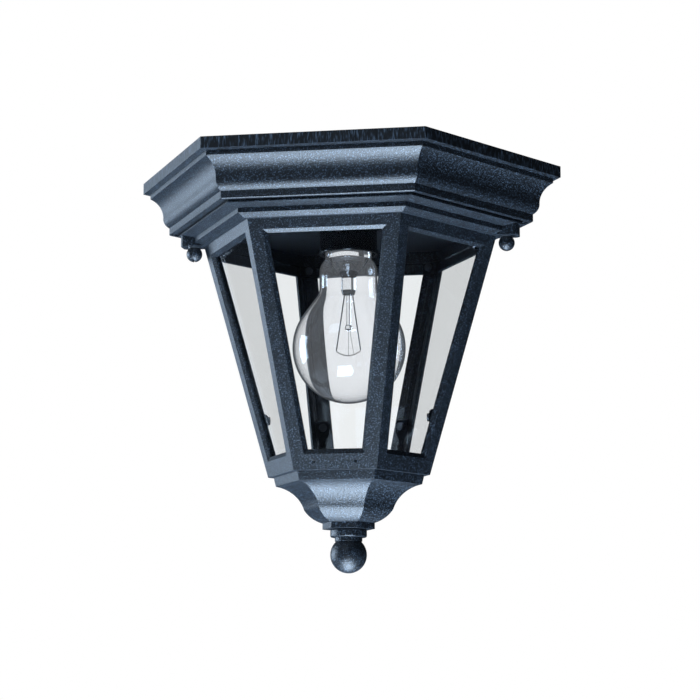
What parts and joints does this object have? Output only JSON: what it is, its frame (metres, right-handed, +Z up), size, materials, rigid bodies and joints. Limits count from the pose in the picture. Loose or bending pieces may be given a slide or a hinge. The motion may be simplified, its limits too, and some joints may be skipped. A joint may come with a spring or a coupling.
{
  "type": "porch ceiling lantern",
  "caption": "Hexagonal ceiling lantern: moulded canopy with a tapered glazed cage hung under it by ball nuts, a clear screw-base bulb inside and a ball finial below.",
  "frame": {"origin": "middle of the ceiling plane, at the centre of the two ceiling-box screw slots", "axes": "+Z up into the ceiling, X through the two ears and ball nuts, -Y out of the front pane"},
  "size_m": [0.23, 0.1992, 0.2152],
  "materials": {
    "textured_coat": "fine sandy powder coat, blue-black, on cast aluminium",
    "clear_glass": "clear flat float glass",
    "bulb_glass": "clear blown glass",
    "bulb_stem_glass": "clear pressed glass",
    "zinc_steel": "bright zinc plate",
    "black_steel": "black painted steel",
    "stud_steel": "zinc-plated threaded rod",
    "holder_plastic": "black phenolic moulding",
    "holder_metal": "brass strip",
    "base_metal": "bright rolled aluminium",
    "base_insulator": "black vitrified glass",
    "solder": "solder",
    "wire_nickel": "nickel wire",
    "tungsten": "tungsten coil",
    "ground_green": "green dyed zinc plate"
  },
  "bodies": {
    "canopy_mount": {"canopy": "textured_coat", "mounting_strap": "zinc_steel", "canopy_studs": "stud_steel", "strap_nuts": "zinc_steel", "canopy_cap_nuts": "black_steel", "ground_screw": "ground_green", "cage_studs": "stud_steel", "lampholder_body": "holder_plastic", "lampholder_shell": "holder_metal", "lampholder_contact": "holder_metal", "lampholder_bracket": "zinc_steel", "bracket_screws": "zinc_steel"},
    "cage": {"cage_frame": "textured_coat", "glass_pane_front": "clear_glass", "glass_pane_front_right": "clear_glass", "glass_pane_back_right": "clear_glass", "glass_pane_back": "clear_glass", "glass_pane_back_left": "clear_glass", "glass_pane_front_left": "clear_glass", "lower_glass_stops": "black_steel", "upper_glass_stops": "black_steel", "glass_stop_screws": "zinc_steel", "base_plate": "black_steel", "bottom_cup": "textured_coat", "finial_disc": "textured_coat", "finial_ball": "textured_coat", "finial_nut": "zinc_steel"},
    "left_washer": {"washer_left": "zinc_steel"},
    "left_ball_nut": {"ball_nut_left": "textured_coat"},
    "right_washer": {"washer_right": "zinc_steel"},
    "right_ball_nut": {"ball_nut_right": "textured_coat"},
    "bulb_tip": {"bulb_eyelet": "solder", "bulb_insulator": "base_insulator"},
    "bulb": {"bulb_glass": "bulb_glass", "bulb_base_shell": "base_metal", "bulb_stem": "bulb_stem_glass", "bulb_lead_wires": "wire_nickel", "bulb_filament": "tungsten"}
  },
  "joints": [
    {"name": "cage_lift_off", "type": "slide", "parent": "canopy_mount", "child": "cage", "axis": [0, 0, -1], "range_m": [0, 0.12]},
    {"name": "left_nut_drop", "type": "slide", "parent": "cage", "child": "left_washer", "axis": [0, 0, -1], "range_m": [0, 0.00556]},
    {"name": "left_nut_turn", "type": "hinge", "parent": "left_washer", "child": "left_ball_nut", "pos_m": [-0.0857, 0, -0.0405], "axis": [0, 0, -1], "range_deg": [0, 2520]},
    {"name": "right_nut_drop", "type": "slide", "parent": "cage", "child": "right_washer", "axis": [0, 0, -1], "range_m": [0, 0.00556]},
    {"name": "right_nut_turn", "type": "hinge", "parent": "right_washer", "child": "right_ball_nut", "pos_m": [0.0857, 0, -0.0405], "axis": [0, 0, -1], "range_deg": [0, 2520]},
    {"name": "bulb_drop", "type": "slide", "parent": "canopy_mount", "child": "bulb_tip", "axis": [0, 0, -1], "range_m": [0, 0.01995]},
    {"name": "bulb_turn", "type": "hinge", "parent": "bulb_tip", "child": "bulb", "pos_m": [0, 0, -0.03], "axis": [0, 0, -1], "range_deg": [0, 1980]}
  ],
  "couplings": [
    {"joint": "left_nut_turn", "follows": "left_nut_drop", "rad_per_m": 7913.3},
    {"joint": "right_nut_turn", "follows": "right_nut_drop", "rad_per_m": 7913.3},
    {"joint": "bulb_turn", "follows": "bulb_drop", "rad_per_m": 1731.4}
  ]
}
